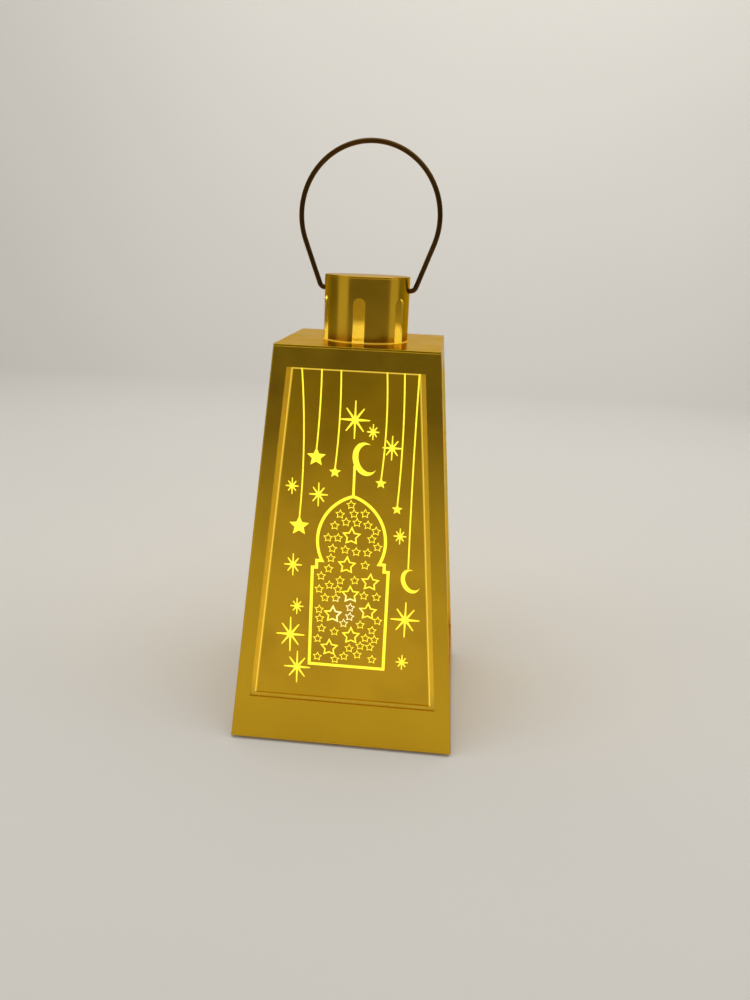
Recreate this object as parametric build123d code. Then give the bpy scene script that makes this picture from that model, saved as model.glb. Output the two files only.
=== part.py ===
from build123d import *
import os
from math import acos, atan, atan2, cos, hypot, pi, sin, sqrt

# Fanous lantern: a tapering four-sided body of polished sheet, an etched mirror pane in each side,
# a slotted round crown, a wire carrying bail, and a battery lamp on the base plate.
# Millimetres, +Z up. The origin is under the middle of the lantern, on the surface it stands on,
# and the front side faces -Y.

# Body
base_width = 120.0
top_width = 82.6
body_height = 210.6
foot_height = 2.0
sheet = 1.0
corner_round = 0.9
flange_width = 10.0
side_names = ("front", "right", "back", "left")

# Windows: low is measured up the leaning wall from its lower edge, high down from its upper edge
window_side = 8.0
window_low = 23.9
window_high = 11.0

# Glazing channels and panes
channel_sheet = 0.8
channel_reach = 2.4
lip_show = 2.2
channel_over = 5.6
pane_thickness = 2.0
pane_play = 0.1
pane_side_play = 0.15
pane_stop_gap = 0.4
stop_tab_width = 24.0
stop_tab_setback = 1.2

# Etched figures on each pane: the arch's heights are measured up from the window's foot
etch_depth = 0.3
figure_axis = 1.4
arch_line = 1.6
arch_low = 20.85
arch_half_width = 19.8
arch_shoulder = 74.4
arch_step_width = 2.2
arch_step_height = 3.8
arch_neck_half_width = 14.9
dome_radius = 24.8
dome_centre_offset = 7.2
finial_line = 1.3
finial_height = 16.0
finial_moon_radius = 8.6
finial_moon_shift = 5.2
finial_moon_rise = 19.5
strand_line = 0.8
star_hang = 0.75
hanging_moon_radius = 6.6
hanging_moon_shift = 1.6
hanging_moon_drop = 6.6
moon_thickness = 0.47
moon_opening = 47.0
moon_slimness = 0.74
finial_moon_tilt = 14.0
hanging_moon_tilt = 23.0
star_valley = 0.46
sparkle_line = 0.6
sparkle_core = 0.7

# Crown
crown_radius = 22.25
crown_height = 33.0
crown_wall = 1.0
crown_turn = -4.2
crown_slots = 6
slot_width = 6.2
slot_height = 22.3
crown_foot_length = 6.0
crown_foot_gap = 12.0
light_gap = 0.7
lid_thickness = 1.0
lid_spigot = 2.0
lid_round = 0.35
lid_play = 0.1

# Carrying bail: the loop's height is measured up from the pivots
wire = 2.6
bail_play = 0.08
pivot_height = 26.0
loop_radius = 36.0
loop_height = 36.0
bail_knee = 2.6
bail_bend = 3.0
bail_end = 5.0

# Base plate fastenings and feet
screw_radius = 1.5
screw_head_radius = 2.8
screw_head = 1.4
screw_head_round = 0.8
screw_hole_play = 0.2
thread_play = 0.05
nut_across = 5.5
nut_height = 2.4
screw_past_nut = 0.6
foot_radius = 5.0
foot_inset = 14.0
foot_round = 0.7

# Lamp
led_height = 47.0
post_radius = 10.0
post_wall = 2.0
post_foot_radius = 11.2
post_foot = 2.0
post_floor = 3.0
post_web = 3.0
post_web_hole = 5.6
post_screw_spread = 5.0
board_thickness = 1.6
board_play = 0.1
board_screw_spread = 7.6
small_screw_radius = 0.9
small_screw_head_radius = 1.6
small_screw_head = 1.0
small_screw_head_round = 0.6
small_screw_length = 4.0
led_base_radius = 4.0
led_base = 1.2
led_dome_radius = 3.2

# Battery case and its door
cell_radius = 5.25
cell_length = 44.5
cell_nub = 1.0
cell_nub_radius = 1.9
cell_count = 3
cell_gap = 0.7
cell_play = 0.2
contact_sheet = 0.4
contact_width = 7.0
contact_height = 8.0
spring_depth = 3.6
case_wall = 1.5
case_roof = 1.5
case_hinge_land = 5.5
case_gap = 0.5
case_play = 0.3
bezel_width = 3.0
bezel_thickness = 1.1
rib_width = 1.2
rib_height = 2.6
barb_length = 8.0
barb_depth = 0.9
barb_height = 2.0
door_thickness = 1.6
door_lap = 0.7
door_play = 0.3
door_seat_play = 0.1
hinge_setback = 1.5
hinge_rise = 1.2
hinge_barrel = 1.1
hinge_pin = 0.7
hinge_pin_length = 2.5
hinge_play = 0.05
hinge_room = 0.4
barrel_half_length = 14.0
door_hinge_gap = 0.7
grip_ribs = 3
grip_rib = 0.8
grip_pitch = 2.0
grip_height = 0.3
grip_length = 14.0
finger_notch = 5.0

# Switch
switch_gap = 14.8
switch_length = 14.0
switch_width = 8.0
switch_body_height = 6.0
switch_ear_length = 4.0
switch_ear = 1.2
switch_floor = 1.4
switch_roof = 1.6
knob_width = 3.0
knob_length = 3.0
knob_drop = 1.2
knob_travel = 4.0
knob_play = 0.3
knob_shoe = 1.2
knob_shoe_lap = 1.2

# Leads
lead_radius = 0.7
lead_height = 5.0
lead_bend = 6.0
lead_hole_play = 0.5
lead_back = 38.0
lead_front = -22.0
lead_side = 18.0
lead_inset = 4.0

# Values worked out from the sizes above
lean = (base_width - top_width) / 2
slant = hypot(lean, body_height)
lean_angle = atan(lean / body_height)
edge_angle = atan(lean / slant)
window_top = slant - window_high
floor_top = foot_height + sheet
plate_top = foot_height + body_height
plate_under = plate_top - sheet
channel_top = window_top + channel_over
pane_depth = sheet + channel_sheet + pane_play
channel_depth = 2 * channel_sheet + pane_thickness + 2 * pane_play
crown_top = plate_top + crown_height
pivot_z = plate_top + pivot_height

face_plane = Plane(
    origin=(0, -base_width / 2, foot_height),
    x_dir=(1, 0, 0),
    z_dir=(0, -cos(lean_angle), sin(lean_angle)),
)


def half_width(z):
    """Half the body's outer width at height z."""
    return base_width / 2 - lean * (z - foot_height) / body_height


def block(x_range, y_range, z_range):
    """A box between two corners."""
    size = [high - low for low, high in (x_range, y_range, z_range)]
    middle = [(low + high) / 2 for low, high in (x_range, y_range, z_range)]
    return Pos(*middle) * Box(*size)


def rod(radius, low, high, x=0.0, y=0.0):
    """An upright cylinder."""
    return Pos(x, y, (low + high) / 2) * Cylinder(radius, high - low)


def cross_rod(radius, x_range, y, z):
    """A cylinder along X."""
    low, high = x_range
    return Pos((low + high) / 2, y, z) * Rot(0, 90, 0) * Cylinder(radius, high - low)


def ring(outer, inner, low, high):
    """An upright tube."""
    return rod(outer, low, high) - rod(inner, low, high)


def spots(x, y):
    """The four places at plus and minus x and y."""
    return [(i * x, j * y) for i in (-1, 1) for j in (-1, 1)]


def frustum(low, high, inset=0.0):
    """The body's tapering block between two heights, moved in by inset."""
    sections = []
    for z in (low, high):
        width = 2 * (half_width(z) - inset)
        sections.append(Pos(0, 0, z) * Rectangle(width, width))
    return loft(sections, ruled=True)


def rounded_blank():
    """The whole body as one block with its four leaning edges rounded."""
    blank = frustum(foot_height, plate_top)
    leaning = [edge for edge in blank.edges() if abs(edge.tangent_at(0.5).Z) > 0.5]
    return fillet(leaning, corner_round)


def level_slice(blank, low, high):
    """The part of a block between two heights."""
    reach = (-base_width, base_width)
    return blank & block(reach, reach, (low, high))


def face_outline(grow, low, high):
    """The window's outline, grown outwards at its sides, between two heights up the wall."""
    corners = []
    for height in (low, high):
        half = base_width / 2 - window_side - lean * height / slant + grow / cos(edge_angle)
        corners.append((half, height))
    (low_half, _), (high_half, _) = corners
    return Polygon(
        (-low_half, low), (low_half, low), (high_half, high), (-high_half, high), align=None
    )


def behind_face(outline, near, far):
    """An outline on the front face made into a slab between two depths behind it."""
    return extrude(face_plane.offset(-near) * outline, amount=near - far)


def on_side(shape, number):
    """A piece of the front side, turned to another side."""
    return Rot(0, 0, 90 * number) * shape


# Sheet body


def make_wall(blank):
    """One side of the body with its window and its flange for the base plate's screws."""
    cup = level_slice(blank, floor_top, plate_under)
    cup -= frustum(floor_top + sheet, plate_under + sheet, sheet / cos(lean_angle))
    inside = half_width(floor_top) - flange_width
    cup -= block((-inside, inside), (-inside, inside), (floor_top - sheet, floor_top + 2 * sheet))
    wedge = Polygon((0, 0), (-base_width, -base_width), (base_width, -base_width), align=None)
    wall = cup & extrude(wedge, amount=plate_top)
    wall -= behind_face(face_outline(0, window_low, window_top), -sheet, 2 * sheet)
    hole = screw_radius + screw_hole_play
    return wall - rod(hole, floor_top - sheet, floor_top + 2 * sheet, 0, -screw_row)


def make_channel():
    """The U of folded strip that holds a pane by its sides and foot."""
    low = window_low - channel_reach
    outside = face_outline(channel_reach, low, channel_top)
    opening = face_outline(-lip_show, window_low + lip_show, slant)
    groove = face_outline(channel_reach - channel_sheet, low + channel_sheet, slant)
    groove_near = sheet + channel_sheet
    groove_far = sheet + channel_depth - channel_sheet
    channel = behind_face(outside, sheet, sheet + channel_depth)
    channel -= behind_face(opening, 0, 2 * sheet + channel_depth)
    return channel - behind_face(groove, groove_near, groove_far)


def star(x, y, radius):
    """A five-pointed star standing on two points."""
    points = []
    for number in range(10):
        reach = radius if number % 2 == 0 else radius * star_valley
        turn = pi / 2 + number * pi / 5
        points.append((x + reach * cos(turn), y + reach * sin(turn)))
    return Polygon(*points, align=None)


def sparkle(x, y, radius):
    """A twinkle of eight thin rays from a small core, the upright pair longest."""
    rays = [(0, 0.78), (52, 0.76), (90, 1.0), (128, 0.76)]
    rays += [(turn + 180, share) for turn, share in rays]
    core = sparkle_core + 0.1 * radius
    points = []
    for number, (turn, share) in enumerate(rays):
        along = (cos(turn * pi / 180), sin(turn * pi / 180))
        for side in (-sparkle_line / 2, sparkle_line / 2):
            reach = radius * share
            points.append((x + reach * along[0] - side * along[1], y + reach * along[1] + side * along[0]))
        next_turn = rays[number + 1][0] if number + 1 < len(rays) else 360
        notch = (turn + next_turn) / 2 * pi / 180
        points.append((x + core * cos(notch), y + core * sin(notch)))
    return Polygon(*points, align=None)


def moon(x, y, radius, tilt):
    """A crescent whose mouth opens towards tilt, slimmer along its mouth than it is tall."""
    inner_less_shift = radius * (1 - moon_thickness)
    spare = radius**2 - inner_less_shift**2
    shift = spare / (2 * (inner_less_shift + radius * cos(moon_opening * pi / 180)))
    inner = inner_less_shift + shift
    bite = Pos(shift * moon_slimness, 0) * Ellipse(inner * moon_slimness, inner)
    return Pos(x, y) * Rot(0, 0, tilt) * (Ellipse(radius * moon_slimness, radius) - bite)


def strand(top_x, foot_x, length, sway):
    """A hanging line from the window's head, bowed sideways by sway."""
    middle = ((top_x + foot_x) / 2 + sway, window_top - length / 2)
    line = ThreePointArc((top_x, window_top), middle, (foot_x, window_top - length))
    return trace(line, strand_line)


def arch():
    """The outlined arch with a pointed dome and stepped shoulders."""
    low = window_low + arch_low
    shoulder = window_low + arch_shoulder
    dome_foot = shoulder + arch_step_height
    dome_rise = sqrt(dome_radius**2 - dome_centre_offset**2)
    dome_drop = sqrt(dome_radius**2 - (arch_neck_half_width + dome_centre_offset) ** 2)
    dome_middle = dome_foot + dome_drop
    apex = (0, dome_middle + dome_rise)
    flank = (dome_radius - dome_centre_offset, dome_middle)
    step = arch_half_width - arch_step_width
    neck = (arch_neck_half_width, dome_foot)
    half = ThreePointArc(apex, flank, neck) + Polyline(
        neck,
        (step, dome_foot),
        (step, shoulder),
        (arch_half_width, shoulder),
        (arch_half_width, low),
        (0, low),
    )
    face = make_face(half + mirror(half, Plane.YZ))
    outside, inside = (offset(face, side * arch_line / 2, kind=Kind.INTERSECTION) for side in (1, -1))
    band = outside - inside
    stem = Pos(0, apex[1] + finial_height / 2) * Rectangle(finial_line, finial_height)
    crescent = moon(finial_moon_shift, apex[1] + finial_moon_rise, finial_moon_radius, finial_moon_tilt)
    return Pos(figure_axis, 0) * (band + stem + crescent)


def figures():
    """All etched figures of one pane, drawn flat on the face."""
    starred = (
        (-26.9, -26.0, 76.4, 1.6, 5.5),
        (-16.9, -18.3, 40.4, 0.4, 5.1),
        (-7.3, -8.5, 48.9, 0.8, 3.2),
        (15.5, 15.1, 53.4, 1.1, 3.0),
        (24.1, 24.0, 66.4, 0.9, 2.9),
    )
    moon_strand = (31.3, 31.4, 99.5, -0.4)
    below_head = ((0.6, 24.3, 9.6), (9.9, 29.9, 4.0), (19.8, 37.4, 6.2))
    above_foot = (
        (-30.2, 116.7, 4.3),
        (-16.5, 113.1, 6.2),
        (26.2, 94.0, 4.2),
        (-28.6, 75.0, 6.0),
        (-25.9, 52.4, 4.5),
        (-29.0, 36.5, 9.7),
        (-24.9, 18.3, 9.0),
        (31.3, 49.3, 9.7),
        (30.9, 25.6, 4.2),
    )
    drawn = arch() + strand(*moon_strand)
    _, foot_x, length, _ = moon_strand
    moon_y = window_top - length - hanging_moon_drop
    drawn += moon(foot_x + hanging_moon_shift, moon_y, hanging_moon_radius, hanging_moon_tilt)
    for top_x, foot_x, length, sway, radius in starred:
        drawn += strand(top_x, foot_x, length, sway)
        drawn += star(foot_x, window_top - length - star_hang * radius, radius)
    drawn += [sparkle(x, window_top - drop, radius) for x, drop, radius in below_head]
    drawn += [sparkle(x, window_low + rise, radius) for x, rise, radius in above_foot]
    return drawn


def make_pane():
    """A mirror-coated acrylic pane with its figures etched into the front."""
    foot = window_low - channel_reach + channel_sheet
    outline = face_outline(channel_reach - channel_sheet - pane_side_play, foot, channel_top)
    pane = behind_face(outline, pane_depth, pane_depth + pane_thickness)
    return pane - behind_face(figures(), pane_depth - etch_depth, pane_depth + etch_depth)


def make_top_plate(blank):
    """The flat top with the crown's hole and a down-turned stop above each pane."""
    plate = level_slice(blank, plate_under, plate_top)
    plate -= rod(crown_radius + light_gap, plate_under - sheet, plate_top + sheet)
    foot = channel_top + pane_stop_gap
    head = slant - sheet / 2
    tab = Pos(0, (foot + head) / 2) * Rectangle(stop_tab_width, head - foot)
    near = sheet + stop_tab_setback
    for number in range(len(side_names)):
        plate += on_side(behind_face(tab, near, near + sheet), number)
    return plate


# Crown and bail


def make_crown_tube():
    """The slotted tube, standing through the top plate on out-turned feet."""
    foot_low = plate_under - crown_wall
    inside = crown_radius - crown_wall
    reach = crown_radius + crown_foot_length
    feet = ring(reach, inside, foot_low, plate_under)
    spring = plate_top + slot_height - slot_width / 2
    slot_low = foot_low - crown_wall
    slot = Pos(0, (slot_low + spring) / 2) * Rectangle(slot_width, spring - slot_low)
    slot += Pos(0, spring) * Circle(slot_width / 2)
    slot_cut = extrude(Plane.XZ * slot, amount=reach + crown_wall)
    half_gap = crown_foot_gap / 2
    gap_cut = block((-half_gap, half_gap), (-2 * reach, 0), (slot_low, plate_under + crown_wall))
    turns = [Rot(0, 0, 360 / crown_slots * number) for number in range(crown_slots)]
    for turn in turns:
        feet -= turn * gap_cut
    tube = feet + ring(crown_radius, inside, foot_low, crown_top - lid_thickness)
    for turn in turns:
        tube -= turn * slot_cut
    tube -= cross_rod(wire / 2 + bail_play, (-reach, reach), 0, pivot_z)
    return Rot(0, 0, crown_turn) * tube


def make_crown_lid():
    """The disc that closes the crown, with a spigot inside the tube."""
    rim = crown_top - lid_thickness
    disc = rod(crown_radius, rim, crown_top)
    disc = fillet(disc.edges().sort_by(Axis.Z)[-1], lid_round)
    outside = crown_radius - crown_wall - lid_play
    return disc + ring(outside, outside - lid_thickness, rim - lid_spigot, rim)


def make_bail():
    """The wire loop, its ends bent in through the crown's two holes."""
    knee_x = crown_radius + bail_knee
    loop_z = pivot_z + loop_height
    reach = hypot(knee_x, loop_height)
    turn = atan2(-loop_height, knee_x) + acos(loop_radius / reach)
    tangent = (loop_radius * cos(turn), loop_z + loop_radius * sin(turn))
    end_x = crown_radius - crown_wall - bail_end
    runs = []
    for side in (1, -1):
        points = [(side * x, 0, z) for x, z in ((end_x, pivot_z), (knee_x, pivot_z), tangent)]
        runs.append(FilletPolyline(*points, radius=bail_bend))
    loop = ThreePointArc(runs[0] @ 1, (0, 0, loop_z + loop_radius), runs[1] @ 1)
    path = Wire(runs[0].edges() + [loop] + runs[1].edges())
    start = Plane(origin=(end_x, 0, pivot_z), z_dir=(1, 0, 0))
    return Rot(0, 0, crown_turn) * sweep(start * Circle(wire / 2), path=path)


# Base


foot_spread = base_width / 2 - foot_inset
screw_row = half_width(floor_top) - flange_width / 2
screw_spots = [(0, -screw_row), (screw_row, 0), (0, screw_row), (-screw_row, 0)]
post_spots = [(0, -post_screw_spread), (0, post_screw_spread)]
switch_middle = -post_foot_radius - switch_gap - switch_width / 2
switch_screw_y = switch_length / 2 + switch_ear_length / 2
switch_spots = [(switch_middle, -switch_screw_y), (switch_middle, switch_screw_y)]

# Heights and edges of the battery case, upwards from the bezel's underside
cell_pitch = 2 * cell_radius + cell_gap
bezel_low = foot_height - bezel_thickness
door_top = bezel_low + door_thickness
door_seat = door_top + door_seat_play
cell_z = door_seat + cell_play + cell_radius
bay_top = cell_z + cell_radius + cell_play
case_top = bay_top + case_roof
bay_half_width = cell_count * cell_pitch / 2
bay_half_length = (cell_length + spring_depth + contact_sheet + cell_play) / 2
mouth_half_width = bay_half_width + door_lap
mouth_half_length = bay_half_length + door_lap
case_half_width = bay_half_width + case_wall
case_middle = post_foot_radius + case_gap + case_half_width
case_x = (case_middle - case_half_width, case_middle + case_half_width)
case_y = (-bay_half_length - case_hinge_land, bay_half_length + case_wall)
hinge_y = -mouth_half_length - hinge_setback
hinge_z = bezel_low + hinge_rise


def grown(span, amount):
    """A span made longer by amount at both ends."""
    return (span[0] - amount, span[1] + amount)


def about(middle, half):
    """A span around its middle."""
    return (middle - half, middle + half)


def make_base_plate(blank):
    """The flat base with its holes for the case, the switch knob and the screws."""
    plate = level_slice(blank, foot_height, floor_top)
    through = grown((foot_height, floor_top), sheet)
    plate -= block(grown(case_x, case_play), grown(case_y, case_play), through)
    knob_y = about(0, (knob_length + knob_travel) / 2 + 2 * knob_play)
    plate -= block(about(switch_middle, knob_width / 2 + 2 * knob_play), knob_y, through)
    for x, y in screw_spots:
        plate -= rod(screw_radius + screw_hole_play, *through, x, y)
    for x, y in post_spots + switch_spots:
        plate -= rod(small_screw_radius + screw_hole_play, *through, x, y)
    return plate


def base_screw(x, y):
    """A round-headed screw driven up through the base plate, the flange and its nut."""
    head = rod(screw_head_radius, foot_height - screw_head, foot_height, x, y)
    head = fillet(head.edges().sort_by(Axis.Z)[0], screw_head_round)
    return head + rod(screw_radius, foot_height, floor_top + sheet + nut_height + screw_past_nut, x, y)


def small_screw(seat, length, x, y):
    """A small round-headed screw driven upwards from its seat."""
    head = rod(small_screw_head_radius, seat - small_screw_head, seat, x, y)
    head = fillet(head.edges().sort_by(Axis.Z)[0], small_screw_head_round)
    return head + rod(small_screw_radius, seat, seat + length, x, y)


def make_base_screws():
    """Four screws that hold the base plate to the walls' flanges."""
    return Compound([base_screw(x, y) for x, y in screw_spots])


def make_base_nuts():
    """Four hexagon nuts on the flanges."""
    low = floor_top + sheet
    nuts = []
    for x, y in screw_spots:
        hexagon = RegularPolygon(nut_across / 2, 6, major_radius=False)
        nut = extrude(Pos(x, y, low) * hexagon, amount=nut_height)
        nuts.append(nut - rod(screw_radius + thread_play, low, low + nut_height, x, y))
    return Compound(nuts)


def make_feet():
    """Four rubber pads under the corners."""
    feet = []
    for x, y in spots(foot_spread, foot_spread):
        pad = rod(foot_radius, 0, foot_height, x, y)
        feet.append(fillet(pad.edges().sort_by(Axis.Z)[0], foot_round))
    return Compound(feet)


# Lamp


board_low = foot_height + led_height - led_base - led_dome_radius / 2 - board_thickness
board_top = board_low + board_thickness
lead_z = floor_top + lead_height
board_spots = [(-board_screw_spread, 0), (board_screw_spread, 0)]


def make_lamp_post():
    """The hollow moulded post that carries the lamp in the middle of the lantern."""
    inside = post_radius - post_wall
    post = rod(post_radius, floor_top, board_low) + rod(post_foot_radius, floor_top, floor_top + post_foot)
    post -= rod(inside, floor_top + post_floor, board_low - post_web)
    post -= rod(post_web_hole, board_low - 2 * post_web, board_low + post_web)
    thread = small_screw_radius + thread_play
    for x, y in post_spots:
        post -= rod(thread, floor_top - post_floor, floor_top + 2 * post_floor, x, y)
    for x, y in board_spots:
        post -= rod(thread, board_low - 2 * post_web, board_low + post_web, x, y)
    hole = Rot(90, 0, 0) * Cylinder(lead_radius + lead_hole_play, 2 * post_radius)
    return post - Pos(0, 0, lead_z) * hole


def make_led_board():
    """The round board that the light sits on."""
    board = rod(post_radius - board_play, board_low, board_top)
    for x, y in board_spots:
        board -= rod(small_screw_radius + screw_hole_play, board_low - sheet, board_top + sheet, x, y)
    return board


def make_led_dome():
    """The light itself, a clear dome on a round base."""
    base_top = board_top + led_base
    dome = Pos(0, 0, base_top) * Sphere(led_dome_radius)
    dome &= block(about(0, post_radius), about(0, post_radius), (base_top, base_top + post_radius))
    return rod(led_base_radius, board_top, base_top) + dome


def make_post_screws():
    """Two screws through the base plate into the lamp post."""
    return Compound([small_screw(foot_height, small_screw_length, x, y) for x, y in post_spots])


def make_board_screws():
    """Two screws that hold the board on the post, driven downwards."""
    flipped = Pos(0, 0, board_top) * Rot(180, 0, 0)
    return Compound([flipped * small_screw(0, small_screw_length, x, y) for x, y in board_spots])


# Battery case


def make_battery_case():
    """The moulded case: a bezel under the base plate, a bay of cells and the door's hinge pocket."""
    case = block(case_x, case_y, (bezel_low, case_top))
    case = fillet(case.edges().filter_by(Axis.Z), case_wall)
    bezel = block(grown(case_x, bezel_width), grown(case_y, bezel_width), (bezel_low, foot_height))
    case += fillet(bezel.edges().filter_by(Axis.Z), bezel_width)
    bay_x = about(case_middle, bay_half_width)
    case -= block(bay_x, about(0, bay_half_length), (door_seat, bay_top))
    mouth_x = about(case_middle, mouth_half_width)
    case -= block(mouth_x, about(0, mouth_half_length), (bezel_low - sheet, door_seat))
    for number in range(1, cell_count):
        x = bay_x[0] + number * cell_pitch
        case += block(about(x, rib_width / 2), about(0, bay_half_length), (bay_top - rib_height, bay_top))
    pocket = hinge_barrel + hinge_room
    pocket_x = about(case_middle, barrel_half_length + door_play)
    case -= block(pocket_x, (hinge_y - pocket, -bay_half_length), (bezel_low - sheet, hinge_z + pocket))
    pin_x = about(case_middle, barrel_half_length + hinge_pin_length + door_play)
    case -= cross_rod(hinge_pin + hinge_play, pin_x, hinge_y, hinge_z)
    notch_y = mouth_half_length + finger_notch - bezel_width / 2
    case -= rod(finger_notch, bezel_low - sheet, bezel_low + bezel_thickness / 2, case_middle, notch_y)
    return case + make_case_barbs()


def make_case_barbs():
    """Wedges on the case's two ends that snap over the base plate."""
    slope = Polygon((0, 0), (barb_depth, 0), (0, barb_height), align=None)
    barb = extrude(Plane.YZ * slope, amount=barb_length / 2, both=True)
    barbs = Pos(case_middle, case_y[1], floor_top) * barb
    return barbs + Pos(case_middle, case_y[0], floor_top) * Rot(0, 0, 180) * barb


def make_battery_door():
    """The hinged door, with trunnions on its barrel and grip ribs near its free edge."""
    half = mouth_half_width - door_play
    free_edge = mouth_half_length - door_play
    hinge_edge = -mouth_half_length + door_hinge_gap
    level = (bezel_low, door_top)
    door = block(about(case_middle, half), (hinge_edge, free_edge), level)
    door += block(about(case_middle, barrel_half_length), (hinge_y, hinge_edge), level)
    door += cross_rod(hinge_barrel, about(case_middle, barrel_half_length), hinge_y, hinge_z)
    pins = about(case_middle, barrel_half_length + hinge_pin_length)
    door += cross_rod(hinge_pin, pins, hinge_y, hinge_z)
    for number in range(grip_ribs):
        y = free_edge - (number + 1) * grip_pitch
        rib_z = (bezel_low - grip_height, bezel_low)
        door += block(about(case_middle, grip_length / 2), about(y, grip_rib / 2), rib_z)
    return door


def cell_rows():
    """Each cell's X and the way its raised end points, turn about."""
    first = case_middle - (cell_count - 1) * cell_pitch / 2
    return [(first + number * cell_pitch, 1 if number % 2 == 0 else -1) for number in range(cell_count)]


def facing(x, way):
    """Places a piece drawn for a cell that points along +Y."""
    return Pos(x, 0, cell_z) * Rot(0, 0, 0 if way > 0 else 180)


def make_cells():
    """Three dry cells, laid turn about."""
    low = -bay_half_length + spring_depth
    can_length = cell_length - cell_nub
    can = Pos(0, low + can_length / 2, 0) * Rot(90, 0, 0) * Cylinder(cell_radius, can_length)
    nub = Pos(0, low + cell_length - cell_nub / 2, 0) * Rot(90, 0, 0) * Cylinder(cell_nub_radius, cell_nub)
    return Compound([facing(x, way) * (can + nub) for x, way in cell_rows()])


def make_contact_springs():
    """Bowed leaf contacts at the flat end of each cell."""
    wall = -bay_half_length
    half = contact_height / 2
    crest = wall + spring_depth - contact_sheet / 2
    back = wall + contact_sheet / 2
    bow = ThreePointArc((back, -half), (crest, 0), (back, half))
    leaf = extrude(Plane.YZ * trace(bow, contact_sheet), amount=contact_width / 2, both=True)
    pad_y = (wall, wall + contact_sheet)
    leaf &= block(about(0, contact_width), (wall, wall + spring_depth), about(0, contact_height))
    leaf += block(about(0, contact_width / 2), pad_y, about(0, half))
    return Compound([facing(x, way) * leaf for x, way in cell_rows()])


def make_contact_plates():
    """Flat contacts at the raised end of each cell."""
    plate_y = (bay_half_length - contact_sheet, bay_half_length)
    plate = block(about(0, contact_width / 2), plate_y, about(0, contact_height / 2))
    return Compound([facing(x, way) * plate for x, way in cell_rows()])


# Switch


shoe_low = floor_top + switch_floor + knob_play
shoe_half_width = knob_width / 2 + knob_shoe_lap
shoe_half_length = knob_length / 2 + knob_shoe_lap
knob_rest = -knob_travel / 2


def make_switch_body():
    """The slide switch's housing with an ear at each end."""
    top = floor_top + switch_body_height
    body = block(about(switch_middle, switch_width / 2), about(0, switch_length / 2), (floor_top, top))
    ear_y = about(0, switch_length / 2 + switch_ear_length)
    body += block(about(switch_middle, switch_width / 2), ear_y, (floor_top, floor_top + switch_ear))
    room_x = about(switch_middle, shoe_half_width + knob_play)
    room_y = about(0, shoe_half_length + knob_travel / 2 + knob_play)
    body -= block(room_x, room_y, (floor_top + switch_floor, top - switch_roof))
    slot_x = about(switch_middle, knob_width / 2 + knob_play)
    slot_y = about(0, knob_length / 2 + knob_travel / 2 + knob_play)
    body -= block(slot_x, slot_y, (floor_top - sheet, floor_top + 2 * switch_floor))
    for x, y in switch_spots:
        body -= rod(small_screw_radius + thread_play, floor_top - sheet, floor_top + 2 * switch_ear, x, y)
    return body


def make_switch_slider():
    """The sliding knob, at rest at the end of its travel that lights the lamp."""
    knob_z = (foot_height - knob_drop, shoe_low)
    knob = block(about(switch_middle, knob_width / 2), about(knob_rest, knob_length / 2), knob_z)
    shoe_x = about(switch_middle, shoe_half_width)
    return knob + block(shoe_x, about(knob_rest, shoe_half_length), (shoe_low, shoe_low + knob_shoe))


def make_switch_screws():
    """Two screws through the base plate into the switch's ears."""
    return Compound([small_screw(foot_height, sheet + switch_ear, x, y) for x, y in switch_spots])


# Leads


def lead(*points):
    """An insulated lead along straight runs with rounded corners."""
    path = FilletPolyline(*points, radius=lead_bend)
    start = Plane(origin=path @ 0, z_dir=path % 0)
    return sweep(start * Circle(lead_radius), path=path)


def make_leads():
    """The leads from case to switch, switch to light and light back to case."""
    case_end_x = case_middle - bay_half_width / 2
    switch_end = switch_length / 2
    inner = post_radius - post_wall - lead_inset
    return {
        "battery_lead": lead(
            (case_end_x, case_y[1], lead_z),
            (case_end_x, lead_back, lead_z),
            (switch_middle, lead_back, lead_z),
            (switch_middle, switch_end, lead_z),
        ),
        "switch_lead": lead(
            (switch_middle, -switch_end, lead_z),
            (switch_middle, lead_front, lead_z),
            (0, lead_front, lead_z),
            (0, -inner, lead_z),
            (0, -inner, board_low),
        ),
        "return_lead": lead(
            (case_x[0], lead_side, lead_z),
            (0, lead_side, lead_z),
            (0, inner, lead_z),
            (0, inner, board_low),
        ),
    }


def make_lantern():
    """Every piece of the lantern by name."""
    blank = rounded_blank()
    wall = make_wall(blank)
    channel = make_channel()
    pane = make_pane()
    pieces = {}
    for number, name in enumerate(side_names):
        pieces[f"{name}_wall"] = on_side(wall, number)
        pieces[f"{name}_channel"] = on_side(channel, number)
        pieces[f"{name}_pane"] = on_side(pane, number)
    pieces["top_plate"] = make_top_plate(blank)
    pieces["crown_tube"] = make_crown_tube()
    pieces["crown_lid"] = make_crown_lid()
    pieces["bail_handle"] = make_bail()
    pieces["base_plate"] = make_base_plate(blank)
    pieces["base_screws"] = make_base_screws()
    pieces["base_nuts"] = make_base_nuts()
    pieces["rubber_feet"] = make_feet()
    pieces["lamp_post"] = make_lamp_post()
    pieces["led_board"] = make_led_board()
    pieces["led_dome"] = make_led_dome()
    pieces["post_screws"] = make_post_screws()
    pieces["board_screws"] = make_board_screws()
    pieces["battery_case"] = make_battery_case()
    pieces["battery_door"] = make_battery_door()
    pieces["battery_cells"] = make_cells()
    pieces["contact_springs"] = make_contact_springs()
    pieces["contact_plates"] = make_contact_plates()
    pieces["switch_body"] = make_switch_body()
    pieces["switch_slider"] = make_switch_slider()
    pieces["switch_screws"] = make_switch_screws()
    pieces.update(make_leads())
    return pieces


os.makedirs("parts", exist_ok=True)
for node, piece in make_lantern().items():
    export_step(piece, f"parts/{node}.step")
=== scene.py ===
import random
from math import cos, hypot, pi, radians, sin

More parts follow.
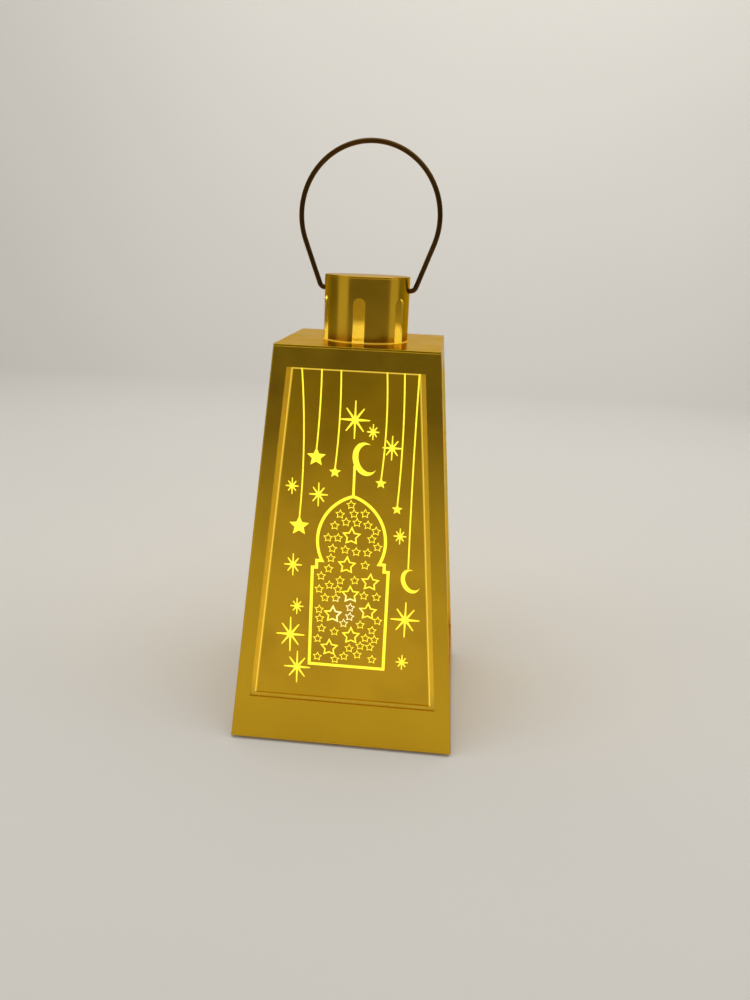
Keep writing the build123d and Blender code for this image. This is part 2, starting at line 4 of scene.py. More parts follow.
import bmesh
import bpy
from bpy.props import FloatProperty, FloatVectorProperty, IntProperty, PointerProperty
from mathutils import Matrix, Vector


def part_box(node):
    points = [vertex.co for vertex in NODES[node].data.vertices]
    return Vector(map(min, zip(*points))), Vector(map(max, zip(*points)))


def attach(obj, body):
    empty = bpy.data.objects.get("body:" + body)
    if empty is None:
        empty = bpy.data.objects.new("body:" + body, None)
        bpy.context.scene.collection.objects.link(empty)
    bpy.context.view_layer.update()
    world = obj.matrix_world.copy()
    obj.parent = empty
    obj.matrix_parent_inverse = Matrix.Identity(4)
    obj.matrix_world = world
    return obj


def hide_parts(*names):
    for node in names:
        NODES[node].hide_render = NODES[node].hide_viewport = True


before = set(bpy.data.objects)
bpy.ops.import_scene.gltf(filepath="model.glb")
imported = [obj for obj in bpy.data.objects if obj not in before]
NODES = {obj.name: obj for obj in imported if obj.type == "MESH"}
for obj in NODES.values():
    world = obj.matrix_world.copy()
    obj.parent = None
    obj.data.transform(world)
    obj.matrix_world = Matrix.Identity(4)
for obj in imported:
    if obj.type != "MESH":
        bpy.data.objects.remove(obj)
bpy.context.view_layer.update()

bl_info = {
    "name": "Fanous lantern",
    "version": (1, 0, 0),
    "blender": (4, 5, 0),
    "location": "View3D > Sidebar > Lantern",
    "description": "Finishes, lit etching and studio for a tapering sheet-metal fanous lantern",
    "category": "Object",
}

# Metres and +Z up, as the frame. The front side faces -Y.
MM = 0.001
SIDES = ("front", "right", "back", "left")
BLACK = (0.0, 0.0, 0.0, 1.0)

# Corners nearer than the gap are one, and a face looks some way when the cosine is over the limit
MERGE_GAP = 0.002 * MM
FACING = 0.9

# The part of a noise's range where most of its values lie
NOISE_RANGE = {"From Min": 0.3, "From Max": 0.7}

# How far a plain metal has gone to white at the grazing angle that the edge tint is set for
GRAZING_SHARE = 0.473

# How far off the middle a face's plane may pass and still count as the mill-dull inside
SHEET_INNER_LIMIT = -10 * MM
TUBE_INNER_LIMIT = 5 * MM

# Painted glow that stands in for the lamp's light at the crown's foot, outside and inside: full up to,
# gone at, and its share
PAINTED_FOOT_LINE = (0.0, 0.8 * MM, 0.5)
PAINTED_FOOT_FILL = (4.5 * MM, 8.5 * MM, 0.5)

# Where the lantern's own light stands over its dome, and where the etching's painted glow is brightest,
# as a painted hot spot
LIGHT_RISE = 6 * MM
PAINTED_HOT_SPOT_RISE = 24 * MM
PAINTED_HOT_SPOT_RADIUS = 10 * MM

# The scatter of the star fill: its seed, the tries for each star, the most turn, and the shares of
# the tip radii that stay clear of the arch's line and of other stars
STAR_SEED = 11
STAR_TRIES = 500
STAR_TURN = 0.08
LINE_SHARE = 0.9
STAR_SHARE = 0.84


def linear(colour):
    """An sRGB hex colour as the linear colour that sockets take."""
    parts = [int(colour[place : place + 2], 16) / 255 for place in (1, 3, 5)]
    return tuple(c / 12.92 if c <= 0.04045 else ((c + 0.055) / 1.055) ** 2.4 for c in parts)


def colour_setting(label, what, colour):
    """A colour that the user can change."""
    return FloatVectorProperty(
        name=label, description=what, default=linear(colour), subtype="COLOR", min=0, max=1
    )


def length_setting(label, what, size):
    """A length that the user can change, in metres."""
    return FloatProperty(name=label, description=what, default=size, unit="LENGTH")


def power_setting(label, what, watts):
    """A lamp's power that the user can change, in watts."""
    return FloatProperty(name=label, description=what, default=watts, min=0, unit="POWER")


def share_setting(label, what, share):
    """A share of another size that the user can change."""
    return FloatProperty(name=label, description=what, default=share)


def count_setting(label, what, count):
    """A count that the user can change."""
    return IntProperty(name=label, description=what, default=count, min=0)


def angle_setting(label, what, degrees):
    """An angle that the user can change."""
    return FloatProperty(name=label, description=what, default=radians(degrees), unit="ROTATION")


class LanternFinish(bpy.types.PropertyGroup):
    """Colours of the lantern's materials."""

    gold: colour_setting("Gold sheet", "Polished gold-tone steel of walls and plates", "#DFB22A")
    tube: colour_setting("Gold tube", "Polished gold-tone steel of the crown", "#D0A428")
    inner: colour_setting("Mill-dull inside", "Inner side of the gold-tone sheet", "#F4EC7A")
    bore: colour_setting("Dull bore", "Inner side of the gold-tone tube", "#D2C860")
    strip: colour_setting("Gold strip", "Folded strip around each window", "#EFC63C")
    # Painted glow on the strip, standing in for pane light that it catches
    painted_spill: colour_setting("Spilt light", "Pane light that the strip catches", "#7E5A06")
    mirror: colour_setting("Mirror pane", "Gold mirror film behind the acrylic", "#A98216")
    # Painted glow that stands in for lamp light through the mirror film
    through: colour_setting("Through light", "Lamp light that the mirror film lets through", "#8A6A00")
    # Painted glow along the panes' edges and head, and at the crown's foot
    edge: colour_setting("Edge light", "Light that leaves a pane along its edges", "#FFD84A")
    wire: colour_setting("Bail wire", "Bronzed drawn wire of the bail", "#4E3512")
    # The etching's painted glow and its painted hot spot; the lamp's lens takes the same two colours
    glow: colour_setting("Lit etching", "Etched acrylic lit from inside", "#FFEA34")
    hot: colour_setting("Brightest etching", "Etched acrylic where the lamp shines through", "#FFFBE0")
    lens: colour_setting("Lamp lens", "Clear dome of the light", "#FFF6D8")
    zinc: colour_setting("Zinc plating", "Screws and nuts", "#B9BCBD")
    nickel: colour_setting("Nickel plating", "Battery contacts", "#C9C5BA")
    rubber: colour_setting("Rubber", "Pads under the base", "#1C1B1A")
    white: colour_setting("White plastic", "Lamp post", "#E6E3DA")
    black: colour_setting("Black plastic", "Battery case, door and switch housing", "#1B1B1C")
    knob: colour_setting("Pale plastic", "Switch knob", "#D8D5CC")
    board: colour_setting("Lamp board", "White solder mask", "#EAEAE4")
    jacket: colour_setting("Cell jacket", "Printed jacket of the dry cells", "#3D4650")
    red_lead: colour_setting("Red lead", "Insulation of the feed leads", "#A31A14")
    black_lead: colour_setting("Black lead", "Insulation of the return lead", "#181818")


class LanternEtching(bpy.types.PropertyGroup):
    """Sizes of the lit etching on each pane, up the leaning side from its lower edge."""

    groove: length_setting("Groove", "Depth of the etched cut in the pane", 0.3 * MM)
    fill_depth: length_setting("Fill depth", "How far the etched cut is filled with light", 0.25 * MM)
    arch_axis: length_setting("Arch axis", "The arch's middle, across the side", 1.4 * MM)
    arch_low: length_setting("Arch foot", "Height of the arch's foot", 44.75 * MM)
    arch_half_width: length_setting("Arch half width", "Half the arch's width", 19.8 * MM)
    arch_shoulder: length_setting("Arch shoulder", "Height of the arch's shoulders", 98.3 * MM)
    arch_step: length_setting("Arch step", "Half the arch's width above its shoulders", 17.6 * MM)
    arch_neck: length_setting("Arch neck", "Half the arch's width where its dome begins", 14.9 * MM)
    dome_foot: length_setting("Dome foot", "Height where the arch's dome begins", 102.1 * MM)
    arch_line: length_setting("Arch line", "Width of the arch's line", 1.6 * MM)
    dome_middle: length_setting("Dome middle", "Height of the dome's widest place", 113.35 * MM)
    dome_radius: length_setting("Dome radius", "Radius of each half of the pointed dome", 24.8 * MM)
    dome_offset: length_setting("Dome offset", "How far each half's centre is past the axis", 7.2 * MM)
    small_star: length_setting("Small star", "Tip radius of a small outlined star", 2.65 * MM)
    large_star: length_setting("Large star", "Tip radius of a large outlined star", 5.2 * MM)
    star_gap: length_setting("Star gap", "Least gap between outlined stars", 0.3 * MM)
    star_proud: length_setting("Star relief", "How far an outlined star stands off the pane", 0.03 * MM)
    star_sunk: length_setting("Star depth", "How far an outlined star is sunk in the pane", 0.12 * MM)
    star_line: share_setting("Star line", "Width of a star's line over its tip radius", 0.145)
    star_valley: share_setting("Star valley", "Inner radius of a star over its tip radius", 0.52)
    small_stars: count_setting("Small stars", "Small stars in each arch", 57)
    large_stars: count_setting("Large stars", "Large stars in each arch", 8)


class LanternScrews(bpy.types.PropertyGroup):
    """The cross recess in the screw heads under the base, as shares of each head."""

    length: share_setting("Cross length", "Length of the cross over the head's width", 0.54)
    width: share_setting("Cross width", "Width of its arms over the head's width", 0.12)
    depth: length_setting("Cross depth", "Depth of the recess", 0.55 * MM)


class LanternStage(bpy.types.PropertyGroup):
    """The camera, floor and lamps."""

    eye: FloatVectorProperty(
        name="Camera place",
        description="Where the camera stands",
        default=(0.0449, -0.4401, 0.2598),
        subtype="TRANSLATION",
        unit="LENGTH",
    )
    turn: angle_setting("Turn", "Camera turned from +Y towards -X", 4.70)
    tilt: angle_setting("Tilt", "Camera tilted down", 17.21)
    roll: angle_setting("Roll", "Camera rolled over", 2.42)
    lens: FloatProperty(
        name="Lens", description="Focal length on a picture 36 mm high", default=29.37, unit="CAMERA"
    )
    floor_size: length_setting("Floor", "Width and depth of the floor", 8.0)
    backdrop: length_setting("Backdrop", "How far behind the lantern the backdrop rises", 1.1)
    backdrop_height: length_setting("Backdrop height", "Height of the backdrop", 2.2)
    sweep: length_setting("Sweep", "Radius of the curve between floor and backdrop", 0.5)
    paper: colour_setting("Paper", "Floor and backdrop", "#ECE8E0")
    room: colour_setting("Room", "Dim room around the stage", "#6E6B66")
    lamp_light: colour_setting("Lamp colour", "Colour of the lantern's own light", "#FFF6DC")
    left: power_setting("Left panel", "Power of the left soft panel", 1.5)
    right: power_setting("Right panel", "Power of the right soft panel", 1.2)
    top: power_setting("Top panel", "Power of the soft panel over the lantern", 13.5)
    high: power_setting("High panel", "Power of the broad soft panel over the whole stage", 38.0)
    inside: power_setting("Lamp", "Power of the lantern's own light", 0.85)


# Materials


def add_node(owner, kind, inputs=None, **settings):
    """Adds a node, applies its settings, and fills its inputs with values, sockets or other nodes."""
    tree = owner.node_tree
    made = tree.nodes.new(kind)
    for name, value in settings.items():
        setattr(made, name, value)
    for key, value in (inputs or {}).items():
        if isinstance(value, bpy.types.Node):
            value = next(socket for socket in value.outputs if socket.enabled)
        if isinstance(value, bpy.types.NodeSocket):
            tree.links.new(value, made.inputs[key])
        else:
            made.inputs[key].default_value = value
    return made


def start_material(name):
    """An empty material and its Object coordinates."""
    material = bpy.data.materials.new(name)
    material.use_nodes = True
    material.node_tree.nodes.clear()
    place = add_node(material, "ShaderNodeTexCoord").outputs["Object"]
    return material, place


def per_mm(size):
    """The texture scale whose marks are about size millimetres across."""
    return 1 / (size * MM)


def rgba(colour, share=1.0):
    """A colour with full alpha, made darker or lighter by a share."""
    return (*(min(1.0, part * share) for part in colour[:3]), 1.0)


def grazing_tint(colour):
    """The edge tint that keeps a metal's own colour where it is seen at a grazing angle."""
    return (*(part / (part + GRAZING_SHARE * (1 - part)) for part in colour[:3]), 1.0)


def polished_gold_steel(name, finish, colours, line_scale, smooth, dull, inner_limit, painted_glow_foot=None):
    """Gold-toned stainless steel, polished on its outer side after rolling and left mill-dull inside:
    clear golden reflections outside, drawn out a little by the rolling lines and dulled in patches
    where hands have been, a thin glint along the rubbed edges, and a soft sheen inside. Where a foot
    height is given, a painted glow stands in for the lamp's light at that foot. The real
    lines are about 0.02 mm apart, and are drawn coarser here so that they show."""
    colour, inner_colour = colours
    material, place = start_material(name)
    stretched = add_node(material, "ShaderNodeMapping", {"Vector": place, "Scale": line_scale})
    lines = add_node(material, "ShaderNodeTexNoise", {"Vector": stretched, "Scale": 1.0, "Detail": 2.0})
    smears = add_node(
        material, "ShaderNodeTexNoise", {"Vector": place, "Scale": per_mm(16), "Detail": 3.0}
    )
    cast = add_node(
        material, "ShaderNodeTexNoise", {"Vector": place, "Scale": per_mm(38), "Detail": 1.0}
    )
    tone = add_node(
        material,
        "ShaderNodeMix",
        {0: cast, 6: rgba(colour, 0.92), 7: rgba(colour, 1.06)},
        data_type="RGBA",
    )
    gloss = add_node(
        material,
        "ShaderNodeMapRange",
        {"Value": smears, **NOISE_RANGE, "To Min": smooth, "To Max": dull},
    )
    rounded = add_node(material, "ShaderNodeBevel", {"Radius": 0.3 * MM}, samples=6)
    grain = add_node(
        material,
        "ShaderNodeBump",
        {"Height": lines, "Distance": 0.02 * MM, "Strength": 0.08, "Normal": rounded},
    )
    inner = inner_side(material, place, inner_limit)
    both_tones = add_node(
        material, "ShaderNodeMix", {0: inner, 6: tone, 7: rgba(inner_colour)}, data_type="RGBA"
    )
    both_glosses = add_node(
        material, "ShaderNodeMapRange", {"Value": inner, "To Min": gloss, "To Max": 0.5}
    )
    shader = add_node(
        material,
        "ShaderNodeBsdfPrincipled",
        {
            "Base Color": both_tones,
            "Metallic": 1.0,
            "Roughness": both_glosses,
            "Specular Tint": grazing_tint(colour),
            "Normal": grain,
            # Painted glow of the lamp's light at the foot, black where no foot is given
            "Emission Color": painted_foot_light(material, place, inner, painted_glow_foot, finish),
            "Emission Strength": 1.0,
        },
    )
    add_node(material, "ShaderNodeOutputMaterial", {"Surface": shader})
    return material


def inner_side(material, place, limit):
    """1 on the faces that look in towards the middle of the lantern's foot, and 0 on those that look
    out. The limit is how far off that middle a face's plane may still pass: below 0 it leaves out
    sills and undersides, and above 0 it takes in the cut edges of a tube's slots."""
    facing = add_node(material, "ShaderNodeTexCoord").outputs["Normal"]
    out = add_node(material, "ShaderNodeVectorMath", {0: facing, 1: place}, operation="DOT_PRODUCT")
    return add_node(material, "ShaderNodeMath", {0: out, 1: limit}, operation="LESS_THAN")


def painted_foot_light(material, place, inner, foot, finish):
    """Painted glow that stands in for the lamp's light on something that stands in a hole with its foot
    at the height given: painted over the lowest part of the inside, and outside as a thin line over
    the gap. There is none without a foot."""
    if foot is None:
        return BLACK
    height = add_node(material, "ShaderNodeSeparateXYZ", {"Vector": place}).outputs["Z"]
    outside, inside = (
        add_node(
            material,
            "ShaderNodeMapRange",
            {
                "Value": height,
                "From Min": foot + full,
                "From Max": foot + end,
                "To Min": share,
                "To Max": 0.0,
            },
        )
        for full, end, share in (PAINTED_FOOT_LINE, PAINTED_FOOT_FILL)
    )
    share = add_node(
        material, "ShaderNodeMapRange", {"Value": inner, "To Min": outside, "To Max": inside}
    )
    return add_node(
        material, "ShaderNodeMix", {0: share, 6: BLACK, 7: rgba(finish.edge)}, data_type="RGBA"
    )


def lit_gold_strip(finish):
    """Gold-toned steel strip, brushed along its length and folded: a satin golden line with a painted
    glow, fading out towards its foot, that stands in for the light leaving the pane's edge in its
    fold. The brush marks are drawn coarser than their 0.05 mm so that they show."""
    material, place = start_material("brushed_gold_stainless_strip")
    along = (per_mm(0.5), per_mm(0.5), per_mm(30))
    stretched = add_node(material, "ShaderNodeMapping", {"Vector": place, "Scale": along})
    lines = add_node(material, "ShaderNodeTexNoise", {"Vector": stretched, "Scale": 1.0, "Detail": 2.0})
    patches = add_node(
        material, "ShaderNodeTexNoise", {"Vector": place, "Scale": per_mm(9), "Detail": 2.0}
    )
    tone = add_node(
        material,
        "ShaderNodeMix",
        {0: lines, 6: rgba(finish.strip, 0.85), 7: rgba(finish.strip, 1.1)},
        data_type="RGBA",
    )
    gloss = add_node(
        material,
        "ShaderNodeMapRange",
        {"Value": patches, **NOISE_RANGE, "To Min": 0.32, "To Max": 0.44},
    )
    # Painted glow: none at the channel's foot, full from 10 mm up
    foot, _ = lip_corners()
    rise = 10 * MM
    height = add_node(material, "ShaderNodeSeparateXYZ", {"Vector": place}).outputs["Z"]
    painted_spill = add_node(
        material,
        "ShaderNodeMapRange",
        {"Value": height, "From Min": foot.z, "From Max": foot.z + rise, "To Min": 0.0, "To Max": 0.9},
    )
    shader = add_node(
        material,
        "ShaderNodeBsdfPrincipled",
        {
            "Base Color": tone,
            "Metallic": 1.0,
            "Roughness": gloss,
            "Specular Tint": grazing_tint(finish.strip),
            "Emission Color": rgba(finish.painted_spill),
            "Emission Strength": painted_spill,
        },
    )
    add_node(material, "ShaderNodeOutputMaterial", {"Surface": shader})
    return material


def gold_mirror_acrylic(finish):
    """Cast acrylic with a thin gold mirror film behind it: a glossy, slightly wavy mirror, with a
    painted glow that stands in for the lamp's light let through around the lamp, and a painted glow
    along its own edges."""
    material, place = start_material("gold_mirror_cast_acrylic")
    wave = add_node(
        material, "ShaderNodeTexNoise", {"Vector": place, "Scale": per_mm(42), "Detail": 1.0}
    )
    dust = add_node(
        material, "ShaderNodeTexNoise", {"Vector": place, "Scale": per_mm(7), "Detail": 3.0}
    )
    tone = add_node(
        material,
        "ShaderNodeMix",
        {0: wave, 6: rgba(finish.mirror, 0.92), 7: rgba(finish.mirror, 1.06)},
        data_type="RGBA",
    )
    gloss = add_node(
        material,
        "ShaderNodeMapRange",
        {"Value": dust, **NOISE_RANGE, "To Min": 0.08, "To Max": 0.18},
    )
    ripple = add_node(
        material, "ShaderNodeBump", {"Height": wave, "Distance": 0.12 * MM, "Strength": 0.12}
    )
    # Painted glow of the lamp's light through the film: full within 55 mm of the lamp, 0.6 from 165 mm,
    # made uneven by a noise for the film's thickness
    reach = add_node(
        material, "ShaderNodeVectorMath", {0: place, 1: lamp_place()}, operation="DISTANCE"
    )
    nearness = add_node(
        material,
        "ShaderNodeMapRange",
        {"Value": reach, "From Min": 55 * MM, "From Max": 165 * MM, "To Min": 1.0, "To Max": 0.6},
        interpolation_type="SMOOTHSTEP",
    )
    film = add_node(
        material, "ShaderNodeTexNoise", {"Vector": place, "Scale": per_mm(24), "Detail": 4.0}
    )
    thinness = add_node(
        material,
        "ShaderNodeMapRange",
        {"Value": film, **NOISE_RANGE, "To Min": 0.7, "To Max": 1.15},
    )
    share = add_node(material, "ShaderNodeMath", {0: nearness, 1: thinness}, operation="MULTIPLY")
    through = add_node(
        material, "ShaderNodeMix", {0: share, 6: BLACK, 7: rgba(finish.through)}, data_type="RGBA"
    )
    # Painted edge glow laid over the painted through glow
    light = add_node(
        material,
        "ShaderNodeMix",
        {0: painted_edge_glow(material, place), 6: through, 7: rgba(finish.edge)},
        data_type="RGBA",
    )
    shader = add_node(
        material,
        "ShaderNodeBsdfPrincipled",
        {
            "Base Color": tone,
            "Metallic": 1.0,
            "Roughness": gloss,
            "Specular Tint": grazing_tint(finish.mirror),
            "Normal": ripple,
            "Coat Weight": 0.35,
            "Coat Roughness": 0.03,
            "Emission Color": light,
            "Emission Strength": 0.8,
        },
    )
    add_node(material, "ShaderNodeOutputMaterial", {"Surface": shader})
    return material


def painted_edge_glow(material, place):
    """1 along the sides and head of every pane's open part, where a painted glow stands in for
    edge-lit acrylic, and 0 elsewhere."""
    foot, head = lip_corners()
    slope = (head.x - foot.x) / (head.z - foot.z)
    split = add_node(material, "ShaderNodeSeparateXYZ", {"Vector": place})
    from_x, from_y = (
        add_node(material, "ShaderNodeMath", {0: split.outputs[axis]}, operation="ABSOLUTE")
        for axis in ("X", "Y")
    )
    across = add_node(material, "ShaderNodeMath", {0: from_x, 1: from_y}, operation="MINIMUM")
    half = add_node(
        material,
        "ShaderNodeMath",
        {0: split.outputs["Z"], 1: slope, 2: foot.x - slope * foot.z},
        operation="MULTIPLY_ADD",
    )
    inset = add_node(material, "ShaderNodeMath", {0: half, 1: across}, operation="SUBTRACT")
    side = add_node(
        material,
        "ShaderNodeMapRange",
        {"Value": inset, "From Min": 0.3 * MM, "From Max": 1.1 * MM, "To Min": 1.0, "To Max": 0.0},
    )
    # A painted line of light at the window's head, rising from nothing 1.0 mm below it to full 0.7 mm
    # below it
    top = window_head()
    upper = add_node(
        material,
        "ShaderNodeMapRange",
        {"Value": split.outputs["Z"], "From Min": top - 1.0 * MM, "From Max": top - 0.7 * MM},
    )
    return add_node(material, "ShaderNodeMath", {0: side, 1: upper}, operation="MAXIMUM")


def painted_glow_etched_acrylic(finish):
    """Laser-etched acrylic lit from inside, as a painted glow: a frosted cut full of painted lemon
    light, painted near white where the lamp itself shines through to someone in front, and a little
    uneven from the laser's dots. The dots are about 0.1 mm and are drawn coarser here so that they
    show."""
    material, place = start_material("painted_glow_laser_etched_acrylic")
    dots = add_node(
        material, "ShaderNodeTexNoise", {"Vector": place, "Scale": per_mm(1.2), "Detail": 2.0}
    )
    # A painted hot spot, 10 mm in radius, on the pane straight out from a point 24 mm over the lamp's
    # dome
    shine = Vector(lamp_place()) + Vector((0, 0, PAINTED_HOT_SPOT_RISE))
    near = front_level("front") - shine.dot(outward("front"))
    reach = add_node(
        material, "ShaderNodeVectorMath", {0: place, 1: tuple(shine)}, operation="DISTANCE"
    )
    nearness = add_node(
        material,
        "ShaderNodeMapRange",
        {
            "Value": reach,
            "From Min": near,
            "From Max": hypot(near, PAINTED_HOT_SPOT_RADIUS),
            "To Min": 0.9,
            "To Max": 0.0,
        },
    )
    hue = add_node(
        material,
        "ShaderNodeMix",
        {0: nearness, 6: rgba(finish.glow), 7: rgba(finish.hot)},
        data_type="RGBA",
    )
    strength = add_node(
        material,
        "ShaderNodeMapRange",
        {"Value": dots, **NOISE_RANGE, "To Min": 0.85, "To Max": 1.1},
    )
    frost = add_node(
        material, "ShaderNodeBump", {"Height": dots, "Distance": 0.05 * MM, "Strength": 0.3}
    )
    shader = add_node(
        material,
        "ShaderNodeBsdfPrincipled",
        {
            "Base Color": rgba(finish.glow, 0.7),
            "Roughness": 0.6,
            "Normal": frost,
            "Emission Color": hue,
            "Emission Strength": strength,
        },
    )
    add_node(material, "ShaderNodeOutputMaterial", {"Surface": shader})
    return material


def bronzed_drawn_wire(colour):
    """Steel wire, drawn and chemically bronzed: a dark soft sheen with a mottled, slightly rubbed
    skin."""
    material, place = start_material("bronzed_drawn_steel_wire")
    mottle = add_node(
        material, "ShaderNodeTexNoise", {"Vector": place, "Scale": per_mm(2.2), "Detail": 3.0}
    )
    rubbed = add_node(
        material, "ShaderNodeTexNoise", {"Vector": place, "Scale": per_mm(14), "Detail": 1.0}
    )
    tone = add_node(
        material,
        "ShaderNodeMix",
        {0: rubbed, 6: rgba(colour, 0.7), 7: rgba(colour, 1.35)},
        data_type="RGBA",
    )
    gloss = add_node(
        material,
        "ShaderNodeMapRange",
        {"Value": mottle, **NOISE_RANGE, "To Min": 0.28, "To Max": 0.45},
    )
    skin = add_node(
        material, "ShaderNodeBump", {"Height": mottle, "Distance": 0.02 * MM, "Strength": 0.25}
    )
    shader = add_node(
        material,
        "ShaderNodeBsdfPrincipled",
        {"Base Color": tone, "Metallic": 1.0, "Roughness": gloss, "Normal": skin},
    )
    add_node(material, "ShaderNodeOutputMaterial", {"Surface": shader})
    return material


def plated_steel(name, colour, smooth, dull):
    """Steel plated in a bath: a bright grey skin with faint cloudy blotches."""
    material, place = start_material(name)
    blotch = add_node(
        material, "ShaderNodeTexNoise", {"Vector": place, "Scale": per_mm(1.6), "Detail": 3.0}
    )
    tone = add_node(
        material,
        "ShaderNodeMix",
        {0: blotch, 6: rgba(colour, 0.8), 7: rgba(colour, 1.15)},
        data_type="RGBA",
    )
    gloss = add_node(
        material,
        "ShaderNodeMapRange",
        {"Value": blotch, **NOISE_RANGE, "To Min": smooth, "To Max": dull},
    )
    shader = add_node(
        material, "ShaderNodeBsdfPrincipled", {"Base Color": tone, "Metallic": 1.0, "Roughness": gloss}
    )
    add_node(material, "ShaderNodeOutputMaterial", {"Surface": shader})
    return material


def moulded_plastic(name, colour, grain, depth, dull):
    """A moulded skin: one even colour with a slight flow cast, broken by the mould's own fine grain."""
    material, place = start_material(name)
    pits = add_node(
        material, "ShaderNodeTexNoise", {"Vector": place, "Scale": per_mm(grain), "Detail": 2.0}
    )
    cast = add_node(
        material, "ShaderNodeTexNoise", {"Vector": place, "Scale": per_mm(12), "Detail": 1.0}
    )
    tone = add_node(
        material,
        "ShaderNodeMix",
        {0: cast, 6: rgba(colour, 0.9), 7: rgba(colour, 1.08)},
        data_type="RGBA",
    )
    gloss = add_node(
        material,
        "ShaderNodeMapRange",
        {"Value": pits, **NOISE_RANGE, "To Min": dull - 0.1, "To Max": dull + 0.1},
    )
    skin = add_node(
        material, "ShaderNodeBump", {"Height": pits, "Distance": depth * MM, "Strength": 0.4}
    )
    shader = add_node(
        material, "ShaderNodeBsdfPrincipled", {"Base Color": tone, "Roughness": gloss, "Normal": skin}
    )
    add_node(material, "ShaderNodeOutputMaterial", {"Surface": shader})
    return material


def lit_clear_lens(finish):
    """The light's clear moulded dome, lit: white at its crest and warm towards its rim."""
    material, place = start_material("lit_clear_moulded_epoxy")
    low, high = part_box("led_dome")
    reach = add_node(
        material, "ShaderNodeVectorMath", {0: place, 1: (0.0, 0.0, high.z)}, operation="DISTANCE"
    )
    rim = add_node(material, "ShaderNodeMapRange", {"Value": reach, "From Max": (high.x - low.x) / 2})
    hue = add_node(
        material, "ShaderNodeMix", {0: rim, 6: rgba(finish.hot), 7: rgba(finish.glow)}, data_type="RGBA"
    )
    shader = add_node(
        material,
        "ShaderNodeBsdfPrincipled",
        {
            "Base Color": rgba(finish.lens),
            "Roughness": 0.12,
            "Emission Color": hue,
            "Emission Strength": 5.0,
        },
    )
    add_node(material, "ShaderNodeOutputMaterial", {"Surface": shader})
    return material


def printed_cell_jacket(finish):
    """A dry cell: a printed foil jacket with a metallic shine, and bare plated steel at both ends."""
    material, place = start_material("printed_foil_cell_jacket")
    low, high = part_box("battery_cells")
    bare = 3.2 * MM
    split = add_node(material, "ShaderNodeSeparateXYZ", {"Vector": place})
    past_low, past_high = (
        add_node(material, "ShaderNodeMath", {0: split.outputs["Y"], 1: edge}, operation="GREATER_THAN")
        for edge in (low.y + bare, high.y - bare)
    )
    covered = add_node(material, "ShaderNodeMath", {0: past_low, 1: past_high}, operation="SUBTRACT")
    wear = add_node(
        material, "ShaderNodeTexNoise", {"Vector": place, "Scale": per_mm(3), "Detail": 3.0}
    )
    ink = add_node(
        material,
        "ShaderNodeMix",
        {0: wear, 6: rgba(finish.jacket, 0.85), 7: rgba(finish.jacket, 1.2)},
        data_type="RGBA",
    )
    tone = add_node(
        material, "ShaderNodeMix", {0: covered, 6: rgba(finish.nickel), 7: ink}, data_type="RGBA"
    )
    gloss = add_node(
        material,
        "ShaderNodeMapRange",
        {"Value": wear, **NOISE_RANGE, "To Min": 0.25, "To Max": 0.4},
    )
    shader = add_node(
        material, "ShaderNodeBsdfPrincipled", {"Base Color": tone, "Metallic": 0.75, "Roughness": gloss}
    )
    add_node(material, "ShaderNodeOutputMaterial", {"Surface": shader})
    return material


def studio_paper(colour):
    """Matt seamless paper: one pale tone with a very faint cloudiness."""
    material, place = start_material("matt_seamless_paper")
    cloud = add_node(
        material, "ShaderNodeTexNoise", {"Vector": place, "Scale": per_mm(300), "Detail": 1.0}
    )
    tone = add_node(
        material,
        "ShaderNodeMix",
        {0: cloud, 6: rgba(colour, 0.98), 7: rgba(colour, 1.02)},
        data_type="RGBA",
    )
    shader = add_node(material, "ShaderNodeBsdfPrincipled", {"Base Color": tone, "Roughness": 0.85})
    add_node(material, "ShaderNodeOutputMaterial", {"Surface": shader})
    return material


# Places taken from the frame


def lamp_place():
    """The middle of the light's dome."""
    low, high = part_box("led_dome")
    return tuple((low + high) / 2)


def lip_corners():
    """The innermost corners of the front channel's lips, at its foot and at its head."""
    low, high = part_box("front_channel")
    near = 8 * MM
    corners = [vertex.co for vertex in NODES["front_channel"].data.vertices if vertex.co.x > 0]
    foot = min((corner for corner in corners if corner.z < low.z + near), key=lambda corner: corner.x)
    head = min((corner for corner in corners if corner.z > high.z - near), key=lambda corner: corner.x)
    return foot, head


def window_head():
    """Height of the upper edge of the front wall's window."""
    pane_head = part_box("front_pane")[1].z
    wall = NODES["front_wall"].data.vertices
    foot, head = lip_corners()
    return max(v.co.z for v in wall if head.x < abs(v.co.x) < foot.x and v.co.z < pane_head)


def outward(side):
    """The way a pane faces, from the largest face of its front."""
    pane = NODES[f"{side}_pane"].data
    turn = SIDES.index(side) * pi / 2
    flat = Vector((sin(turn), -cos(turn), 0))
    fronts = [face for face in pane.polygons if face.normal.dot(flat) > FACING]
    return max(fronts, key=lambda face: face.area).normal.copy()


def front_level(side):
    """How far out a pane's front face lies, along the way it faces."""
    out = outward(side)
    return max(vertex.co.dot(out) for vertex in NODES[f"{side}_pane"].data.vertices)


def pane_plane(side):
    """A matrix from flat drawing to a pane's front: X across, Y up the side from its foot, Z out."""
    out = outward(side)
    turn = SIDES.index(side) * pi / 2
    across = Vector((cos(turn), sin(turn), 0))
    up = out.cross(across)
    low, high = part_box("base_plate")
    foot = Vector((high.x * sin(turn), -high.y * cos(turn), low.z))
    foot += (front_level(side) - foot.dot(out)) * out
    plane = Matrix((across, up, out)).transposed().to_4x4()
    plane.translation = foot
    return plane


# Modelling helpers


def deselect():
    """Leaves nothing selected."""
    bpy.ops.object.select_all(action="DESELECT")


def activate(*pieces):
    """Selects these pieces alone, the first one active."""
    deselect()
    for piece in pieces:
        piece.select_set(True)
    bpy.context.view_layer.objects.active = pieces[0]


